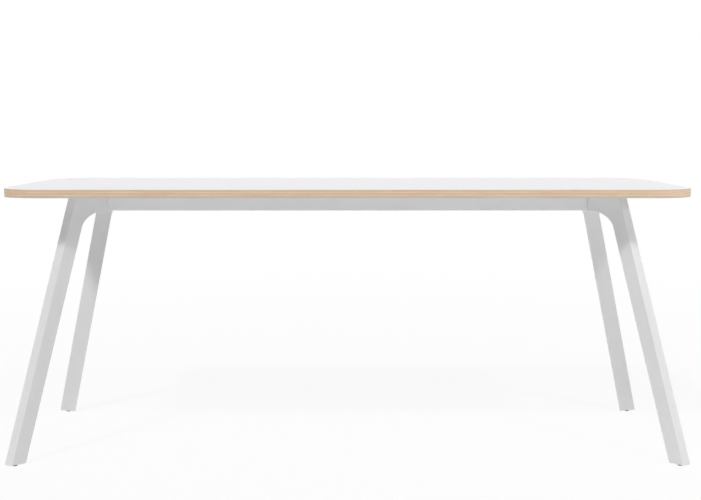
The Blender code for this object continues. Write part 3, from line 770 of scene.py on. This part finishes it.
def build_top():
    """Plywood core between two laminate sheets, with holes for the threaded inserts."""
    radius = BOARD_SHANK + TOUCH + INSERT_WALL + TOUCH
    roof = CORE_BOTTOM + INSERT_LENGTH + TOUCH
    holes = []
    for y_sign in SIDES.values():
        for place in TAB_PLACES:
            point, _ = board_seat(place, y_sign)
            holes.append(bar(radius, (*point.xy, FRAME_TOP), (*point.xy, roof), HOLE_STEPS))

    core = board_sheet(CORE_BOTTOM, CORE_TOP)
    round_over(core, flat_edges(core, 1) + flat_edges(core, -1), CORE_ARRIS, ARRIS_STEPS)
    add_piece("plywood_core", without(to_mesh(core), *holes), "plywood_edge", "top_board")

    face = board_sheet(SKIN_TOP - SKIN_THICKNESS, SKIN_TOP)
    round_over(face, flat_edges(face, 1), SKIN_ARRIS, ARRIS_STEPS)
    add_piece("laminate_face", to_mesh(face), "white_laminate", "top_laminate")

    backing = board_sheet(BACKER_BOTTOM, BACKER_TOP)
    round_over(backing, flat_edges(backing, -1), SKIN_ARRIS, ARRIS_STEPS)
    sheet = without(to_mesh(backing), *holes)
    add_piece("laminate_backing", sheet, "backing_laminate", "underside_laminate")


def rail_bar(start, end, play):
    """Solid bar of the rail's section along X, smaller all round by a play."""
    low = Vector((start, play - RAIL_WIDTH / 2, play - RAIL_HEIGHT / 2))
    shape = block(low, (end, -low.y, -low.z))
    round_over(shape, edges_along(shape, X_AXIS), RAIL_CORNER_RADIUS - play, RAIL_CORNER_STEPS)
    return shape


def rail_tube(half_length):
    """Rail tube along X with open ends."""
    shape = rail_bar(-half_length, half_length, 0.0)
    ends = [face for face in shape.faces if abs(face.normal.x) > math.cos(SAME_PLANE)]
    bmesh.ops.delete(shape, geom=ends, context="FACES_ONLY")
    bmesh.ops.recalc_face_normals(shape, faces=shape.faces)
    bmesh.ops.solidify(shape, geom=shape.faces[:], thickness=RAIL_WALL)
    return to_mesh(shape)


def build_rails():
    """Long rails and cross rails, drilled for their bolts and for the tabs' screws."""
    for side, y_sign in SIDES.items():
        bolts = [rail_bolt_seat(x_sign, y_sign) for x_sign in ENDS.values()]
        screws = [tab_seat(place, y_sign) for place in TAB_PLACES]
        holes = [hole_for(seat, BOLT_SHANK, BOLT_LENGTH) for seat in bolts]
        holes += [hole_for(seat, TAB_SHANK, TAB_SCREW_LENGTH) for seat in screws]
        rail = rail_tube(RAIL_END_X)
        rail.transform(Matrix.Translation((0.0, y_sign * RAIL_MIDDLE_Y, FRAME_MIDDLE)))
        rail = without(rail, *holes)
        # The rail takes the paler coat, painted light on the same powder coat
        add_piece(f"{side}_rail_tube", rail, "white_powder_coat", f"{side}_rail", finish=PAINTED_LIGHT_RAIL_COAT)
    crosswise = Matrix.Rotation(math.pi / 2, 4, "Z")
    for end, x_sign in ENDS.items():
        bolts = [cross_bolt_seat(x_sign, y_sign) for y_sign in SIDES.values()]
        holes = [hole_for(seat, BOLT_SHANK, BOLT_LENGTH) for seat in bolts]
        rail = rail_tube(CROSS_END_Y)
        rail.transform(Matrix.Translation((x_sign * CROSS_MIDDLE_X, 0.0, FRAME_MIDDLE)) @ crosswise)
        rail = without(rail, *holes)
        node = f"{end}_cross_rail"
        # The cross rail takes the paler coat, painted light on the same powder coat
        add_piece(f"{node}_tube", rail, "white_powder_coat", node, finish=PAINTED_LIGHT_RAIL_COAT)


def socket_screw(shank, head, head_height, length, key):
    """Button-head screw on the Z axis: the head hangs below zero, with a hexagon socket."""
    crown = head * CROWN_SHARE
    rim = head_height * RIM_SHARE
    ease = rim * RIM_EASE_SHARE
    tip = shank * SHANK_TIP_SHARE
    profile = [(0.0, -head_height)]
    for sine, cosine in quarter_turn(DOME_STEPS):
        profile.append((crown + (head - crown) * sine, -rim - (head_height - rim) * cosine))
    profile += [(head, -ease), (head - ease, 0.0), (shank, 0.0)]
    profile += [(shank, length - tip), (shank - tip, length), (0.0, length)]
    depth = head_height * SOCKET_SHARE
    socket = bar(hexagon_corner(key), UP * (-2 * head_height), UP * (depth - head_height), HEXAGON)
    return without(turned(profile, SCREW_STEPS), socket)


def add_screw(name, pattern, seat, node):
    """Show a screw on its seat, turned the way that it points."""
    point, direction = seat
    turn = direction.to_track_quat("Z", "Y").to_matrix().to_4x4()
    screw = placed(pattern, Matrix.Translation(point - direction * TOUCH) @ turn)
    add_piece(name, screw, "zinc_plate", node)


def fixing_tab():
    """Bent angle tab for the rear rail, with round corners and two screw holes."""
    back = RAIL_INNER_Y - TOUCH
    low = FRAME_TOP - TAB_DROP
    deep = back - TAB_DEPTH
    shape = bmesh.new()
    angle = ((back, low), (back, FRAME_TOP), (deep, FRAME_TOP))
    points = [shape.verts.new((-TAB_LENGTH / 2, across, height)) for across, height in angle]
    edges = [shape.edges.new(pair) for pair in zip(points, points[1:])]
    far_end = grown_points(bmesh.ops.extrude_edge_only(shape, edges=edges))
    bmesh.ops.translate(shape, vec=(TAB_LENGTH, 0.0, 0.0), verts=far_end)
    fold = [edge for edge in shape.edges if len(edge.link_faces) == 2]
    round_over(shape, fold, TAB_BEND + TAB_THICKNESS / 2, TAB_BEND_STEPS)
    corners = [point for point in shape.verts if point.co.z < low + MERGE or point.co.y < deep + MERGE]
    round_over(shape, corners, TAB_CORNER, TAB_CORNER_STEPS, clamp=False, affect="VERTICES")

    # The sheet thickens behind its faces, so they have to look up at the board and out at the rail
    bmesh.ops.recalc_face_normals(shape, faces=shape.faces)
    if sum(face.normal.z * face.calc_area() for face in shape.faces) < 0:
        bmesh.ops.reverse_faces(shape, faces=shape.faces)
    bmesh.ops.solidify(shape, geom=shape.faces[:], thickness=TAB_THICKNESS)
    rail_hole = hole_for(tab_seat(0.0, 1), TAB_SHANK, TAB_SCREW_LENGTH)
    board_hole = hole_for(board_seat(0.0, 1), BOARD_SHANK, BOARD_SCREW_LENGTH)
    return without(to_mesh(shape), rail_hole, board_hole)


def build_fixings():
    """Tabs with their screws and threaded inserts, and the bolts of the corner joints."""
    tab = fixing_tab()
    tab_screw = socket_screw(TAB_SHANK, TAB_HEAD, TAB_HEAD_HEIGHT, TAB_SCREW_LENGTH, TAB_KEY)
    board_screw = socket_screw(BOARD_SHANK, BOARD_HEAD, BOARD_HEAD_HEIGHT, BOARD_SCREW_LENGTH, BOARD_KEY)
    bolt = socket_screw(BOLT_SHANK, BOLT_HEAD, BOLT_HEAD_HEIGHT, BOLT_LENGTH, BOLT_KEY)
    for side, y_sign in SIDES.items():
        for number, place in enumerate(TAB_PLACES, start=1):
            spot = f"{side}_{number}"
            own_tab = mirrored(tab, 1, y_sign)
            own_tab.transform(Matrix.Translation((place, 0.0, 0.0)))
            add_piece(f"bent_tab_{spot}", own_tab, "zinc_plate", f"fixing_tab_{spot}")
            seat = tab_seat(place, y_sign)
            add_screw(f"rail_tab_screw_{spot}", tab_screw, seat, f"tab_screw_{spot}")
            seat = board_seat(place, y_sign)
            add_screw(f"board_tab_screw_{spot}", board_screw, seat, f"board_screw_{spot}")
            carry_over(f"board_insert_{spot}", "brass")
    for corner, signs in CORNERS.items():
        add_screw(f"{corner}_rail_button_bolt", bolt, rail_bolt_seat(*signs), f"{corner}_rail_bolt")
        add_screw(f"{corner}_cross_button_bolt", bolt, cross_bolt_seat(*signs), f"{corner}_cross_bolt")


def side_normal(start, end, inside):
    """Plan normal of a side, pointing away from a point inside the outline."""
    along = (end - start).normalized()
    normal = Vector((along.y, -along.x))
    if (inside - start).dot(normal) > 0:
        normal.negate()
    return normal.to_3d()


def leaned(plan_normal):
    """The normal that an upright face gets when the leg leans."""
    return Vector((plan_normal.x, plan_normal.y, -plan_normal.xy.dot(LEAN))).normalized()


def looks_along(face, direction):
    """True for a face whose normal points in a direction."""
    return face.normal.angle(direction) < SAME_PLANE


def is_seat(face):
    """True for the faces that meet the board, the floor gap and the rails."""
    for axis in Matrix.Identity(3):
        if looks_along(face, axis) or looks_along(face, -axis):
            under_head = face.normal.z < -MOSTLY and face.calc_center_median().z > FRAME_BOTTOM - TOUCH
            return not under_head
    return False


def round_face(shape, outward, width, steps):
    """Round the edges of the faces that look one way, but not where they meet a seat."""
    chosen = [
        edge
        for edge in shape.edges
        if any(looks_along(face, outward) for face in edge.link_faces)
        and not any(is_seat(face) for face in edge.link_faces)
    ]
    round_over(shape, chosen, width, steps, "WIDTH", clamp=False)
    bmesh.ops.recalc_face_normals(shape, faces=shape.faces)


def arched_post():
    """Uncut post on the ridge's side of the leg's back plane, with a head that arches out behind it."""
    ample = TOP_WIDTH / 2
    shape = block((-ample, -ample, FOOT_GAP), (0.0, ample, FRAME_TOP))
    bmesh.ops.bisect_plane(shape, geom=whole(shape), dist=CUT, plane_co=UP * FRAME_BOTTOM, plane_no=UP)
    back = [
        face
        for face in shape.faces
        if face.normal.x > MOSTLY and face.calc_center_median().z > FRAME_BOTTOM
    ]
    far_end = grown_points(bmesh.ops.extrude_face_region(shape, geom=back))
    bmesh.ops.delete(shape, geom=back, context="FACES_ONLY")
    bmesh.ops.translate(shape, vec=(ample, 0.0, 0.0), verts=far_end)
    bmesh.ops.recalc_face_normals(shape, faces=shape.faces)

    # The nook under the head is rounded, then squashed into an ellipse
    nook = [
        edge
        for edge in shape.edges
        if all(abs(point.co.x) + abs(point.co.z - FRAME_BOTTOM) < MERGE for point in edge.verts)
    ]
    round_over(shape, nook, ARCH_RISE, ARCH_STEPS)
    bmesh.ops.scale(shape, vec=(ARCH_DEPTH / ARCH_RISE, 1.0, 1.0), verts=shape.verts)

    stand = Matrix.Identity(4)
    stand.col[0] = (*BACK_NORMAL, 0.0, 0.0)
    stand.col[1] = (*BACK_DIRECTION, 0.0, 0.0)
    stand.col[3] = (*INNER_TIP, 0.0, 1.0)
    bmesh.ops.transform(shape, matrix=stand, verts=shape.verts)
    bmesh.ops.recalc_face_normals(shape, faces=shape.faces)
    return shape


def leg_blank():
    """Outside of a leg casting: the arched post cut to the leg's faces, leaned and rounded."""
    shape = arched_post()
    inner = side_normal(RIDGE, INNER_TIP, OUTER_TIP)
    head_back = HEAD_BACK - LEAN * FRAME_TOP
    tip_outward = (OUTER_DIRECTION + BACK_DIRECTION).normalized()
    tip_half_angle = OUTER_DIRECTION.angle(BACK_DIRECTION) / 2
    tip_flat = OUTER_TIP - tip_outward * (OUTER_TIP_FLAT / 2 / math.tan(tip_half_angle))
    cut_away(shape, RIDGE.to_3d(), inner)
    cut_away(shape, RIDGE.to_3d(), side_normal(RIDGE, OUTER_TIP, INNER_TIP))
    cut_away(shape, OUTER_TIP.to_3d(), side_normal(OUTER_TIP, head_back, INNER_TIP))
    cut_away(shape, tip_flat.to_3d(), tip_outward.to_3d())
    bmesh.ops.transform(shape, matrix=LEANING, verts=shape.verts)
    cut_away(shape, (HEAD_END.x, 0.0, 0.0), (-1.0, 0.0, 0.0))
    cut_away(shape, (0.0, HEAD_SIDE_Y, 0.0), (0.0, -1.0, 0.0))
    bmesh.ops.remove_doubles(shape, verts=shape.verts, dist=MERGE)
    bmesh.ops.recalc_face_normals(shape, faces=shape.faces)
    round_face(shape, leaned(inner), LEG_EDGE_WIDTH, LEG_EDGE_STEPS)
    round_face(shape, leaned(tip_outward.to_3d()), TIP_EDGE_WIDTH, TIP_EDGE_STEPS)
    return to_mesh(shape)


def leaning_prism(outline, inset, bottom, top):
    """Plan outline drawn at floor level, shrunk by an inset and run up the leg's lean."""
    shape = bmesh.new()
    face = shape.faces.new([shape.verts.new((*point, 0.0)) for point in outline])
    face.normal_update()
    rim = bmesh.ops.inset_individual(shape, faces=[face], thickness=inset, use_even_offset=True)["faces"]
    bmesh.ops.delete(shape, geom=rim, context="FACES")
    bmesh.ops.translate(shape, vec=UP * bottom, verts=shape.verts)
    grown = bmesh.ops.extrude_face_region(shape, geom=shape.faces[:], use_keep_orig=True)
    bmesh.ops.translate(shape, vec=UP * (top - bottom), verts=grown_points(grown))
    bmesh.ops.transform(shape, matrix=LEANING, verts=shape.verts)
    bmesh.ops.recalc_face_normals(shape, faces=shape.faces)
    return shape


def spigot(root, turn):
    """Tongue that fills a rail tube's bore, with its root on the leg's head."""
    tongue = to_mesh(rail_bar(-SPIGOT_ROOT, SPIGOT_LENGTH, RAIL_WALL + TOUCH))
    tongue.transform(Matrix.Translation(root) @ Matrix.Rotation(turn, 4, "Z"))
    return tongue


def leg_casting():
    """Leg for the rear right corner, with its hollow, the head pocket and both rail spigots."""
    rail_tongue = spigot((HEAD_END.x, RAIL_MIDDLE_Y, FRAME_MIDDLE), math.pi)
    cross_tongue = spigot((CROSS_MIDDLE_X, HEAD_SIDE_Y, FRAME_MIDDLE), -math.pi / 2)
    casting = combine(leg_blank(), group([rail_tongue, cross_tongue]), "UNION")

    cavity_top = FRAME_BOTTOM - ARCH_RISE - CAVITY_ROOF
    cavity = leaning_prism(LEG_SECTION, LEG_WALL, -FOOT_GAP, cavity_top)
    lean = LEAN * FRAME_TOP
    head_side = Vector((HEAD_END.x, HEAD_SIDE_Y))
    head = (RIDGE, HEAD_END - lean, head_side - lean, HEAD_BACK - lean, OUTER_TIP)
    pocket = leaning_prism(head, HEAD_WALL, FRAME_TOP - HEAD_POCKET_DEPTH, FRAME_TOP + HEAD_WALL)
    seats = (rail_bolt_seat(1, 1), cross_bolt_seat(1, 1))
    holes = [hole_for(seat, BOLT_SHANK, BOLT_LENGTH + TOUCH) for seat in seats]
    return without(casting, to_mesh(cavity), to_mesh(pocket), *holes)


def foot_plug():
    """Plug in the leg's open end, with eased lower edges and a hole for the threaded insert."""
    shape = leaning_prism(LEG_SECTION, LEG_WALL + TOUCH, FOOT_GAP, FOOT_GAP + PLUG_HEIGHT)
    round_over(shape, flat_edges(shape, -1), PLUG_EDGE, ARRIS_STEPS)
    radius = STUD_RADIUS + TOUCH + FOOT_INSERT_WALL + TOUCH
    hole = bar(radius, (*FOOT_AXIS, 0.0), (*FOOT_AXIS, 2 * FOOT_GAP + PLUG_HEIGHT), HOLE_STEPS)
    return without(to_mesh(shape), hole)


def threaded_rod(start, end):
    """Rod on the Z axis with a screw thread, cut square at both ends."""
    root = STUD_RADIUS - THREAD_DEPTH
    tooth = [(root + depth * THREAD_DEPTH, share * THREAD_PITCH) for depth, share in THREAD_TOOTH]
    turns = math.ceil((end - start) / THREAD_PITCH) + THREAD_SPARE_TURNS
    shape, outline = drawn(tooth)
    bmesh.ops.spin(
        shape,
        geom=outline,
        axis=UP,
        cent=(0.0, 0.0, 0.0),
        dvec=UP * (THREAD_PITCH / THREAD_STEPS),
        angle=math.tau * turns,
        steps=turns * THREAD_STEPS,
    )
    bmesh.ops.remove_doubles(shape, verts=shape.verts, dist=MERGE)
    bmesh.ops.translate(shape, vec=UP * (start - THREAD_LEAD_IN * THREAD_PITCH), verts=shape.verts)
    cut_away(shape, UP * start, -UP)
    cut_away(shape, UP * end, UP)
    return to_mesh(shape)


def levelling_stud():
    """Threaded stud with a thin hexagon at its foot."""
    foot = PAD_BASE + TOUCH
    middle = foot + STUD_HEX_HEIGHT / 2
    corner = hexagon_corner(STUD_HEX)
    hexagon = bmesh.new()
    bmesh.ops.create_cone(
        hexagon, cap_ends=True, segments=HEXAGON, radius1=corner, radius2=corner, depth=STUD_HEX_HEIGHT
    )
    bmesh.ops.translate(hexagon, vec=UP * middle, verts=hexagon.verts)
    round_over(hexagon, flat_edges(hexagon, 1), STUD_HEX_EASE, STUD_HEX_STEPS)
    return combine(to_mesh(hexagon), threaded_rod(middle, foot + STUD_LENGTH), "UNION")


def glide_pad():
    """Round pad with an eased rim and a socket for the stud's hexagon."""
    rim = FOOT_GAP - TOUCH
    socket = hexagon_corner(STUD_HEX) + PAD_SOCKET_CLEARANCE
    profile = [(0.0, 0.0)]
    for sine, cosine in quarter_turn(PAD_ROUNDING_STEPS):
        profile.append((PAD_RADIUS - PAD_ROUNDING * (1 - sine), PAD_ROUNDING * (1 - cosine)))
    for sine, cosine in quarter_turn(PAD_RIM_STEPS):
        profile.append((PAD_RADIUS - PAD_RIM_ROUNDING * (1 - cosine), rim - PAD_RIM_ROUNDING * (1 - sine)))
    profile += [(socket, rim), (socket, PAD_BASE), (0.0, PAD_BASE)]
    return turned(profile, PAD_STEPS)


def build_legs():
    """The four legs, each with its plug, threaded insert, levelling stud and glide pad."""
    casting = leg_casting()
    plug = foot_plug()
    stud = levelling_stud()
    pad = glide_pad()
    for corner, (x_sign, y_sign) in CORNERS.items():
        own_casting = mirrored(casting, x_sign, y_sign)
        add_piece(f"{corner}_leg_casting", own_casting, "white_powder_coat", f"{corner}_leg")
        own_plug = mirrored(plug, x_sign, y_sign)
        add_piece(f"{corner}_nylon_plug", own_plug, "grey_plug", f"{corner}_foot_plug")
        carry_over(f"{corner}_foot_insert", "brass")
        foot = Matrix.Translation((x_sign * FOOT_AXIS.x, y_sign * FOOT_AXIS.y, 0.0))
        own_stud = placed(stud, foot)
        node = f"{corner}_levelling_stud"
        add_piece(f"{corner}_threaded_stud", own_stud, "zinc_plate", node, f"{corner}_stud")
        own_pad = placed(pad, foot)
        node = f"{corner}_glide_pad"
        add_piece(f"{corner}_round_glide", own_pad, "dark_glide", node, f"{corner}_pad")


def build_camera():
    """Camera where the photograph was taken from."""
    camera = bpy.data.cameras.new("camera")
    camera.sensor_fit = "HORIZONTAL"
    camera.sensor_width = CAMERA_SENSOR
    camera.lens = CAMERA_LENS
    stand = bpy.data.objects.new("camera", camera)
    stand.location = CAMERA_PLACE
    stand.rotation_euler = (CAMERA_PITCH, 0.0, CAMERA_TURN)
    bpy.context.scene.collection.objects.link(stand)
    bpy.context.scene.camera = stand


def build_world():
    """Soft light from all round, and a white backdrop where the world is seen."""
    world = bpy.data.worlds.new("studio")
    bpy.context.scene.world = world
    world.use_nodes = True
    w = Nodes(world.node_tree)
    ambient = w.tree.nodes["Background"]
    w.feed(ambient.inputs["Color"], WHITE)
    w.feed(ambient.inputs["Strength"], AMBIENT)
    backdrop = w.node("Background", Color=WHITE, Strength=1.0)
    surface = w.either(w.seen_directly(), ambient, backdrop)
    w.feed(w.tree.nodes["World Output"].inputs["Surface"], surface)


def build_floor():
    """Pale floor that keeps the table's shadow, and is seen whiter the further it is from the table."""
    shape = bmesh.new()
    bmesh.ops.create_grid(shape, x_segments=1, y_segments=1, size=FLOOR_SIZE / 2)
    floor = bpy.data.objects.new("studio_floor", to_mesh(shape))
    bpy.context.scene.collection.objects.link(floor)
    f = Finish("studio_floor_paint")
    f.tree.nodes.remove(f.shader)
    paint = f.node("BsdfDiffuse", Color=FLOOR_PAINT)
    glow = f.node("Emission", Color=WHITE)
    away = f.node("VectorMath", {"operation": "LENGTH"}, Vector=f.place).outputs["Value"]
    fade = f.graded(away, FLOOR_GLOW, 1.0, FLOOR_FADE_START, FLOOR_FADE_END)
    surface = f.either(f.math("MULTIPLY", f.seen_directly(), fade), paint, glow)
    f.feed(f.tree.nodes["Material Output"].inputs["Surface"], surface)
    floor.data.materials.append(f.material)


def add_light(name, kind, towards):
    """Light that shines from a direction; its stand is returned so that it can be placed."""
    stand = bpy.data.objects.new(name, bpy.data.lights.new(name, kind))
    stand.rotation_mode = "QUATERNION"
    stand.rotation_quaternion = towards.to_track_quat("Z", "Y")
    bpy.context.scene.collection.objects.link(stand)
    return stand


def add_lamp(name, strength, height, side, spread, glints=True):
    """Distant soft lamp, at a height above the horizon and a turn to the right of the front."""
    towards = Vector(
        (math.sin(side) * math.cos(height), -math.cos(side) * math.cos(height), math.sin(height))
    )
    stand = add_light(name, "SUN", towards)
    stand.visible_glossy = glints
    stand.data.energy = strength
    stand.data.angle = spread


def add_key(name, strength, side):
    """Front lamp whose light falls at the key slope, seen from the end of the table."""
    add_lamp(name, strength, math.atan(KEY_SLOPE * math.cos(side)), side, KEY_SPREAD)


def add_side_panel():
    """Small panel that is not itself seen or mirrored in the top."""
    stand = add_light("side_panel", "AREA", PANEL_PLACE - PANEL_TARGET)
    stand.location = PANEL_PLACE
    stand.visible_camera = False
    stand.visible_glossy = False
    stand.data.shape = "RECTANGLE"
    stand.data.size = PANEL_WIDTH
    stand.data.size_y = PANEL_HEIGHT
    stand.data.energy = PANEL_POWER


build_top()
build_rails()
build_fixings()
build_legs()
build_camera()
build_world()
build_floor()
add_key("left_key_lamp", LEFT_KEY_STRENGTH, LEFT_KEY_SIDE)
add_key("right_key_lamp", RIGHT_KEY_STRENGTH, RIGHT_KEY_SIDE)
add_lamp("overhead_lamp", OVERHEAD_STRENGTH, OVERHEAD_HEIGHT, 0.0, OVERHEAD_SPREAD)
add_lamp("rear_lamp", REAR_STRENGTH, REAR_HEIGHT, REAR_SIDE, REAR_SPREAD, glints=False)
add_side_panel()
bpy.context.scene.view_settings.view_transform = "Standard"
